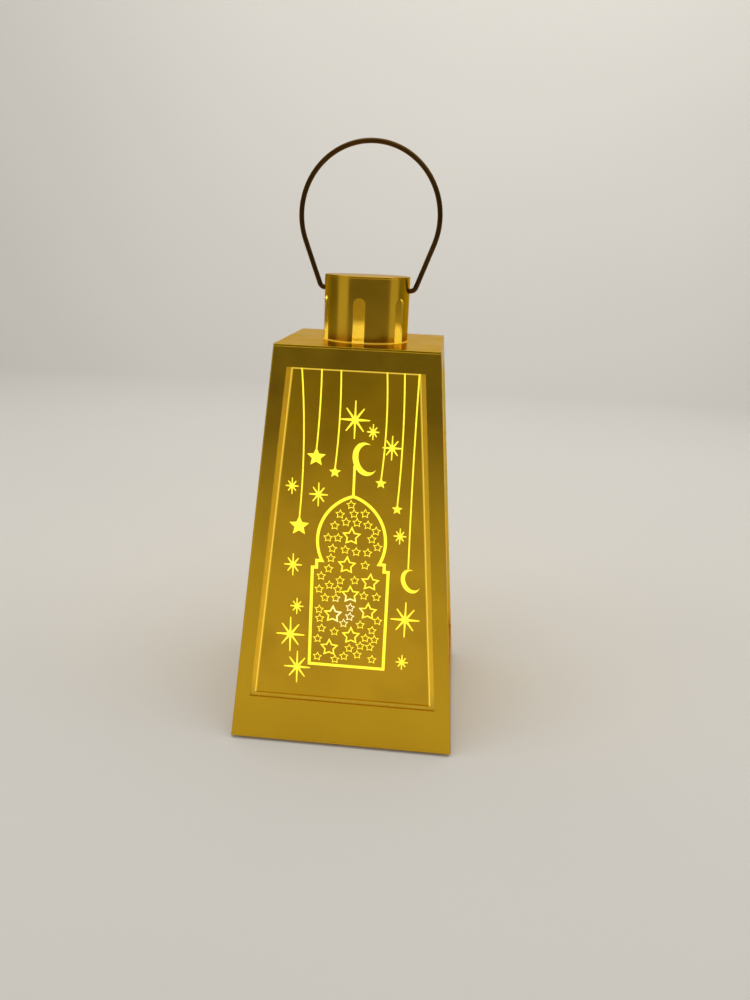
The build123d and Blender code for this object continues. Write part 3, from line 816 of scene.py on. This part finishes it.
def copy_node(node, name):
    """A new piece with a merged copy of a solid's mesh."""
    piece = bpy.data.objects.new(name, NODES[node].data.copy())
    bpy.context.scene.collection.objects.link(piece)
    activate(piece)
    bpy.ops.object.mode_set(mode="EDIT")
    bpy.ops.mesh.select_all(action="SELECT")
    bpy.ops.mesh.remove_doubles(threshold=MERGE_GAP)
    bpy.ops.object.mode_set(mode="OBJECT")
    return piece


def turn_outward():
    """Turns every face of the piece in edit mode outward, and leaves edit mode."""
    bpy.ops.mesh.select_all(action="SELECT")
    bpy.ops.mesh.normals_make_consistent(inside=False)
    bpy.ops.object.mode_set(mode="OBJECT")


def dress(nodes, material):
    """Gives solids of the frame their finish."""
    for node in nodes:
        slots = NODES[node].data.materials
        slots.clear()
        slots.append(material)


def finish_piece(piece, material):
    """Gives a new piece its finish and lets it ride on the lantern."""
    piece.data.materials.clear()
    piece.data.materials.append(material)
    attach(piece, "lantern")


class LANTERN_OT_stage(bpy.types.Operator):
    """Sets up the floor, backdrop, lamps and camera"""

    bl_idname = "lantern.stage"
    bl_label = "Stage"

    def execute(self, context):
        stage = context.scene.lantern_stage
        self.make_floor(stage)
        self.make_room(context.scene, stage)
        self.make_lamps(stage)
        self.make_camera(context.scene, stage)
        context.scene.view_settings.view_transform = "Standard"
        return {"FINISHED"}

    def make_floor(self, stage):
        """A sheet of pale paper that curves up behind the lantern."""
        deselect()
        middle = (0, stage.backdrop - stage.floor_size / 2, 0)
        bpy.ops.mesh.primitive_plane_add(size=stage.floor_size, location=middle)
        floor = bpy.context.object
        floor.name = "studio_floor"
        bpy.ops.object.transform_apply(location=True, rotation=True, scale=True)
        bpy.ops.object.mode_set(mode="EDIT")
        self.select_back_edge(floor, stage)
        rise = (0, 0, stage.backdrop_height)
        bpy.ops.mesh.extrude_region_move(TRANSFORM_OT_translate={"value": rise})
        self.select_back_edge(floor, stage)
        bpy.ops.mesh.bevel(offset=stage.sweep, segments=24, affect="EDGES")
        turn_outward()
        bpy.ops.object.shade_smooth()
        floor.data.materials.append(studio_paper(stage.paper))

    def select_back_edge(self, floor, stage):
        """Selects the floor's edge under the backdrop."""
        bpy.ops.mesh.select_all(action="DESELECT")
        shape = bmesh.from_edit_mesh(floor.data)
        for edge in shape.edges:
            edge.select = all(v.co.y > stage.backdrop - MM and v.co.z < MM for v in edge.verts)
        bmesh.update_edit_mesh(floor.data)

    def make_room(self, scene, stage):
        """A dim plain room, which the polished sheet reflects."""
        world = bpy.data.worlds.new("studio_room")
        world.use_nodes = True
        world.node_tree.nodes.clear()
        back = add_node(world, "ShaderNodeBackground", {"Color": rgba(stage.room)})
        add_node(world, "ShaderNodeOutputWorld", {"Surface": back})
        scene.world = world

    def make_lamps(self, stage):
        """Two tall soft panels at the sides, two above, and the lantern's own light."""
        panels = (
            ("left_panel", stage.left, (-1.05, -0.55, 0.65), (0.8, 1.4)),
            ("right_panel", stage.right, (1.2, -0.1, 0.62), (0.7, 1.3)),
            ("top_panel", stage.top, (0.1, 0.15, 1.2), (2.0, 2.0)),
            ("high_panel", stage.high, (0.0, -0.4, 2.4), (6.0, 6.0)),
        )
        aim = Vector((0, 0.1, 0.15))
        for name, power, place, size in panels:
            light = bpy.data.lights.new(name, "AREA")
            light.shape = "RECTANGLE"
            light.size, light.size_y = size
            light.energy = power
            lamp = bpy.data.objects.new(name, light)
            lamp.location = place
            lamp.rotation_euler = (aim - Vector(place)).to_track_quat("-Z", "Y").to_euler()
            bpy.context.scene.collection.objects.link(lamp)
        light = bpy.data.lights.new("lantern_light", "POINT")
        light.energy = stage.inside
        light.color = stage.lamp_light
        light.shadow_soft_size = 4 * MM
        lamp = bpy.data.objects.new("lantern_light", light)
        lamp.location = (0, 0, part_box("led_dome")[1].z + LIGHT_RISE)
        bpy.context.scene.collection.objects.link(lamp)

    def make_camera(self, scene, stage):
        """The camera, at the photograph's place and angle."""
        view = bpy.data.cameras.new("camera")
        view.sensor_fit = "VERTICAL"
        view.sensor_height = 36.0
        view.lens = stage.lens
        view.clip_start = 0.01
        camera = bpy.data.objects.new("camera", view)
        camera.matrix_world = (
            Matrix.Translation(stage.eye)
            @ Matrix.Rotation(stage.turn, 4, "Z")
            @ Matrix.Rotation(pi / 2 - stage.tilt, 4, "X")
            @ Matrix.Rotation(stage.roll, 4, "Z")
        )
        scene.collection.objects.link(camera)
        scene.camera = camera


class LANTERN_OT_body(bpy.types.Operator):
    """Finishes the four walls, the top plate and the base plate"""

    bl_idname = "lantern.body"
    bl_label = "Sheet body"

    def execute(self, context):
        finish = context.scene.lantern_finish
        upright = (per_mm(0.6), per_mm(0.6), per_mm(40))
        sheet = polished_gold_steel(
            "polished_gold_stainless_sheet",
            finish,
            (finish.gold, finish.inner),
            upright,
            0.12,
            0.24,
            SHEET_INNER_LIMIT,
        )
        dress([f"{side}_wall" for side in SIDES] + ["top_plate", "base_plate"], sheet)
        return {"FINISHED"}


class LANTERN_OT_glazing(bpy.types.Operator):
    """Finishes the folded channels and the mirror panes"""

    bl_idname = "lantern.glazing"
    bl_label = "Glazing"

    def execute(self, context):
        finish = context.scene.lantern_finish
        dress([f"{side}_channel" for side in SIDES], lit_gold_strip(finish))
        dress([f"{side}_pane" for side in SIDES], gold_mirror_acrylic(finish))
        return {"FINISHED"}


class LANTERN_OT_etching(bpy.types.Operator):
    """Fills the etched figures of each pane with painted glow"""

    bl_idname = "lantern.etching"
    bl_label = "Lit etching"

    def execute(self, context):
        etching = context.scene.lantern_etching
        light = painted_glow_etched_acrylic(context.scene.lantern_finish)
        for side in SIDES:
            finish_piece(self.fill_grooves(side, etching), light)
        return {"FINISHED"}

    def fill_grooves(self, side, etching):
        """The floors of a pane's grooves, raised until they nearly fill them."""
        out = outward(side)
        front = front_level(side)
        piece = copy_node(f"{side}_pane", f"{side}_etching")
        bpy.ops.object.mode_set(mode="EDIT")
        bpy.ops.mesh.select_mode(type="FACE")
        bpy.ops.mesh.select_all(action="DESELECT")
        shape = bmesh.from_edit_mesh(piece.data)
        for face in shape.faces:
            depth = front - face.calc_center_median().dot(out)
            floor = face.normal.dot(out) > FACING and abs(depth - etching.groove) < etching.groove / 2
            face.select = not floor
        bmesh.update_edit_mesh(piece.data)
        bpy.ops.mesh.delete(type="FACE")
        bpy.ops.mesh.select_all(action="SELECT")
        raised = tuple(etching.fill_depth * out)
        bpy.ops.mesh.extrude_region_move(TRANSFORM_OT_translate={"value": raised})
        turn_outward()
        if not piece.data.polygons:
            raise RuntimeError(f"{side}_pane has no etched figures")
        return piece


class LANTERN_OT_star_fill(bpy.types.Operator):
    """Scatters outlined stars, with the etching's painted glow, inside the arch of each pane"""

    bl_idname = "lantern.star_fill"
    bl_label = "Star fill"

    def execute(self, context):
        etching = context.scene.lantern_etching
        light = bpy.data.materials["painted_glow_laser_etched_acrylic"]
        radii = (etching.small_star, etching.large_star)
        stamps = {radius: self.make_star(radius, etching) for radius in radii}
        places = self.scatter(etching)
        for side in SIDES:
            finish_piece(self.stamp_stars(side, stamps, places, etching), light)
        for stamp in stamps.values():
            bpy.data.objects.remove(stamp)
        return {"FINISHED"}

    def make_star(self, radius, etching):
        """One outlined star, drawn flat at the origin."""
        deselect()
        bpy.ops.mesh.primitive_circle_add(vertices=10, radius=radius, fill_type="NGON")
        star = bpy.context.object
        bpy.ops.object.mode_set(mode="EDIT")
        bpy.ops.mesh.select_mode(type="VERT")
        bpy.ops.mesh.select_all(action="DESELECT")
        shape = bmesh.from_edit_mesh(star.data)
        for vertex in shape.verts:
            vertex.select = vertex.index % 2 == 1
        bmesh.update_edit_mesh(star.data)
        bpy.ops.transform.resize(value=(etching.star_valley, etching.star_valley, 1))
        bpy.ops.mesh.select_mode(type="FACE")
        bpy.ops.mesh.select_all(action="SELECT")
        bpy.ops.mesh.inset(thickness=radius * etching.star_line)
        bpy.ops.mesh.delete(type="FACE")
        bpy.ops.mesh.select_all(action="SELECT")
        bpy.ops.transform.translate(value=(0, 0, -etching.star_sunk))
        thickness = etching.star_sunk + etching.star_proud
        bpy.ops.mesh.extrude_region_move(TRANSFORM_OT_translate={"value": (0, 0, thickness)})
        turn_outward()
        return star

    def scatter(self, etching):
        """Places, sizes and turns of the stars in an arch, each with as much room as can be found."""
        draw = random.Random(STAR_SEED)
        wanted = [etching.large_star] * etching.large_stars + [etching.small_star] * etching.small_stars
        placed = []
        top = etching.dome_middle + etching.dome_radius
        for radius in wanted:
            best = None
            for _ in range(STAR_TRIES):
                x = draw.uniform(-etching.arch_half_width, etching.arch_half_width)
                y = draw.uniform(etching.arch_low, top)
                room = self.line_room(x, y, etching) - LINE_SHARE * radius
                for other_x, other_y, other, _ in placed:
                    room = min(room, hypot(x - other_x, y - other_y) - STAR_SHARE * (radius + other))
                if room > etching.star_gap and (best is None or room > best[0]):
                    best = (room, x, y)
            if best:
                placed.append((best[1], best[2], radius, draw.uniform(-STAR_TURN, STAR_TURN)))
        return placed

    def line_room(self, x, y, etching):
        """How far a place, measured from the arch's axis, is from the inside of the arch's line."""
        line = etching.arch_line / 2
        x = abs(x)
        steps = (
            (etching.arch_shoulder, etching.arch_half_width, etching.arch_step),
            (etching.dome_foot, etching.arch_step, etching.arch_neck),
        )
        for ledge, side, ledge_end in steps:
            if y < ledge:
                corner = hypot(max(ledge_end - x, 0), ledge - y)
                return min(y - etching.arch_low, side - x, corner) - line
        return etching.dome_radius - hypot(x + etching.dome_offset, y - etching.dome_middle) - line

    def stamp_stars(self, side, stamps, places, etching):
        """Copies of the stars on one pane, joined into one piece."""
        plane = pane_plane(side)
        copies = []
        for x, y, radius, turn in places:
            copy = bpy.data.objects.new(f"{side}_star_fill", stamps[radius].data.copy())
            upright = Matrix.Rotation(turn, 4, "Z")
            copy.data.transform(plane @ Matrix.Translation((x + etching.arch_axis, y, 0)) @ upright)
            bpy.context.scene.collection.objects.link(copy)
            copies.append(copy)
        activate(*copies)
        bpy.ops.object.join()
        return copies[0]


class LANTERN_OT_crown(bpy.types.Operator):
    """Finishes the slotted crown and its lid"""

    bl_idname = "lantern.crown"
    bl_label = "Crown"

    def execute(self, context):
        finish = context.scene.lantern_finish
        around = (per_mm(30), per_mm(30), per_mm(0.5))
        # The top plate's top, where the tube's painted glow of the lamp's light begins
        plate_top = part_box("top_plate")[1].z
        tube = polished_gold_steel(
            "polished_gold_stainless_tube",
            finish,
            (finish.tube, finish.bore),
            around,
            0.14,
            0.26,
            TUBE_INNER_LIMIT,
            plate_top,
        )
        dress(["crown_tube", "crown_lid"], tube)
        return {"FINISHED"}


class LANTERN_OT_bail(bpy.types.Operator):
    """Finishes the carrying bail"""

    bl_idname = "lantern.bail"
    bl_label = "Bail"

    def execute(self, context):
        dress(["bail_handle"], bronzed_drawn_wire(context.scene.lantern_finish.wire))
        return {"FINISHED"}


class LANTERN_OT_fastenings(bpy.types.Operator):
    """Finishes the screws and nuts, and cuts a cross recess in each screw head under the base"""

    bl_idname = "lantern.fastenings"
    bl_label = "Fastenings"

    def execute(self, context):
        screws = context.scene.lantern_screws
        zinc = plated_steel("zinc_plated_steel", context.scene.lantern_finish.zinc, 0.25, 0.42)
        dress(["base_nuts", "board_screws"], zinc)
        for group in ("base", "post", "switch"):
            piece = self.recess(f"{group}_screws", f"{group}_cross_screws", screws)
            finish_piece(piece, zinc)
            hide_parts(f"{group}_screws")
        return {"FINISHED"}

    def recess(self, node, name, screws):
        """A copy of a group of screws with a cross cut into the underside of each head."""
        copy_node(node, name)
        bpy.ops.object.mode_set(mode="EDIT")
        bpy.ops.mesh.select_all(action="SELECT")
        bpy.ops.mesh.separate(type="LOOSE")
        bpy.ops.object.mode_set(mode="OBJECT")
        parts = list(bpy.context.selected_objects)
        for part in parts:
            corners = [vertex.co for vertex in part.data.vertices]
            low = Vector(min(corner[axis] for corner in corners) for axis in range(3))
            high = Vector(max(corner[axis] for corner in corners) for axis in range(3))
            crest = Vector(((low.x + high.x) / 2, (low.y + high.y) / 2, low.z))
            cutter = self.make_cross(crest, high.x - low.x, screws)
            activate(part)
            cut = part.modifiers.new("cross", "BOOLEAN")
            cut.operation = "DIFFERENCE"
            cut.solver = "EXACT"
            cut.object = cutter
            bpy.ops.object.modifier_apply(modifier=cut.name)
            bpy.data.objects.remove(cutter)
        activate(*parts)
        bpy.ops.object.join()
        parts[0].name = name
        return parts[0]

    def make_cross(self, crest, head, screws):
        """A cross-shaped plug, half of it above the crest of a head."""
        deselect()
        width = head * screws.width
        bpy.ops.mesh.primitive_cube_add(size=1, location=crest, scale=(width, width, 2 * screws.depth))
        bpy.ops.object.transform_apply(location=True, rotation=True, scale=True)
        cross = bpy.context.object
        bpy.ops.object.mode_set(mode="EDIT")
        bpy.ops.mesh.select_mode(type="FACE")
        arm = head * (screws.length - screws.width) / 2
        for way in (Vector((1, 0, 0)), Vector((-1, 0, 0)), Vector((0, 1, 0)), Vector((0, -1, 0))):
            bpy.ops.mesh.select_all(action="DESELECT")
            shape = bmesh.from_edit_mesh(cross.data)
            for face in shape.faces:
                middle = face.calc_center_median() - crest
                off_axis = (middle - middle.dot(way) * way).length
                face.select = face.normal.dot(way) > FACING and off_axis < width / 4
            bmesh.update_edit_mesh(cross.data)
            bpy.ops.mesh.extrude_region_move(TRANSFORM_OT_translate={"value": tuple(arm * way)})
        turn_outward()
        return cross


class LANTERN_OT_feet(bpy.types.Operator):
    """Finishes the rubber feet"""

    bl_idname = "lantern.feet"
    bl_label = "Feet"

    def execute(self, context):
        colour = context.scene.lantern_finish.rubber
        rubber = moulded_plastic("moulded_black_rubber", colour, 0.8, 0.06, 0.75)
        dress(["rubber_feet"], rubber)
        return {"FINISHED"}


class LANTERN_OT_lamp(bpy.types.Operator):
    """Finishes the post, the board and the light on it"""

    bl_idname = "lantern.lamp"
    bl_label = "Lamp"

    def execute(self, context):
        finish = context.scene.lantern_finish
        dress(["lamp_post"], moulded_plastic("moulded_white_abs", finish.white, 0.9, 0.02, 0.45))
        dress(["led_board"], moulded_plastic("white_solder_mask", finish.board, 1.2, 0.01, 0.35))
        dress(["led_dome"], lit_clear_lens(finish))
        return {"FINISHED"}


class LANTERN_OT_battery(bpy.types.Operator):
    """Finishes the battery case, its door, the cells and their contacts"""

    bl_idname = "lantern.battery"
    bl_label = "Battery"

    def execute(self, context):
        finish = context.scene.lantern_finish
        case = moulded_plastic("spark_textured_black_abs", finish.black, 0.6, 0.05, 0.55)
        dress(["battery_case", "battery_door"], case)
        dress(["battery_cells"], printed_cell_jacket(finish))
        nickel = plated_steel("nickel_plated_spring_steel", finish.nickel, 0.18, 0.3)
        dress(["contact_springs", "contact_plates"], nickel)
        return {"FINISHED"}


class LANTERN_OT_switch(bpy.types.Operator):
    """Finishes the slide switch"""

    bl_idname = "lantern.switch"
    bl_label = "Switch"

    def execute(self, context):
        finish = context.scene.lantern_finish
        dress(["switch_body"], moulded_plastic("moulded_black_nylon", finish.black, 0.6, 0.02, 0.45))
        dress(["switch_slider"], moulded_plastic("moulded_pale_abs", finish.knob, 0.6, 0.02, 0.4))
        return {"FINISHED"}


class LANTERN_OT_leads(bpy.types.Operator):
    """Finishes the insulated leads"""

    bl_idname = "lantern.leads"
    bl_label = "Leads"

    def execute(self, context):
        finish = context.scene.lantern_finish
        red = moulded_plastic("red_extruded_pvc", finish.red_lead, 1.0, 0.01, 0.35)
        black = moulded_plastic("black_extruded_pvc", finish.black_lead, 1.0, 0.01, 0.35)
        dress(["battery_lead", "switch_lead"], red)
        dress(["return_lead"], black)
        return {"FINISHED"}


class LANTERN_PT_panel(bpy.types.Panel):
    """Lists the lantern's operators and settings"""

    bl_idname = "LANTERN_PT_panel"
    bl_label = "Fanous lantern"
    bl_space_type = "VIEW_3D"
    bl_region_type = "UI"
    bl_category = "Lantern"

    def draw(self, context):
        for operator in OPERATORS:
            self.layout.operator(operator.bl_idname)
        for name in GROUPS:
            group = getattr(context.scene, name)
            box = self.layout.box()
            for setting in group.bl_rna.properties.keys():
                if setting not in {"rna_type", "name"}:
                    box.prop(group, setting)


GROUPS = {
    "lantern_finish": LanternFinish,
    "lantern_etching": LanternEtching,
    "lantern_screws": LanternScrews,
    "lantern_stage": LanternStage,
}
OPERATORS = (
    LANTERN_OT_stage,
    LANTERN_OT_body,
    LANTERN_OT_glazing,
    LANTERN_OT_etching,
    LANTERN_OT_star_fill,
    LANTERN_OT_crown,
    LANTERN_OT_bail,
    LANTERN_OT_fastenings,
    LANTERN_OT_feet,
    LANTERN_OT_lamp,
    LANTERN_OT_battery,
    LANTERN_OT_switch,
    LANTERN_OT_leads,
)
CLASSES = (*GROUPS.values(), *OPERATORS, LANTERN_PT_panel)


def register():
    """Registers the classes and the scene's settings."""
    for item in CLASSES:
        bpy.utils.register_class(item)
    for name, group in GROUPS.items():
        setattr(bpy.types.Scene, name, PointerProperty(type=group))


def unregister():
    """Takes the settings and classes away again."""
    for name in GROUPS:
        delattr(bpy.types.Scene, name)
    for item in reversed(CLASSES):
        bpy.utils.unregister_class(item)


def main():
    """Builds the scene."""
    register()
    bpy.ops.lantern.stage()
    bpy.ops.lantern.body()
    bpy.ops.lantern.glazing()
    bpy.ops.lantern.etching()
    bpy.ops.lantern.star_fill()
    bpy.ops.lantern.crown()
    bpy.ops.lantern.bail()
    bpy.ops.lantern.fastenings()
    bpy.ops.lantern.feet()
    bpy.ops.lantern.lamp()
    bpy.ops.lantern.battery()
    bpy.ops.lantern.switch()
    bpy.ops.lantern.leads()


if __name__ == "__main__":
    main()
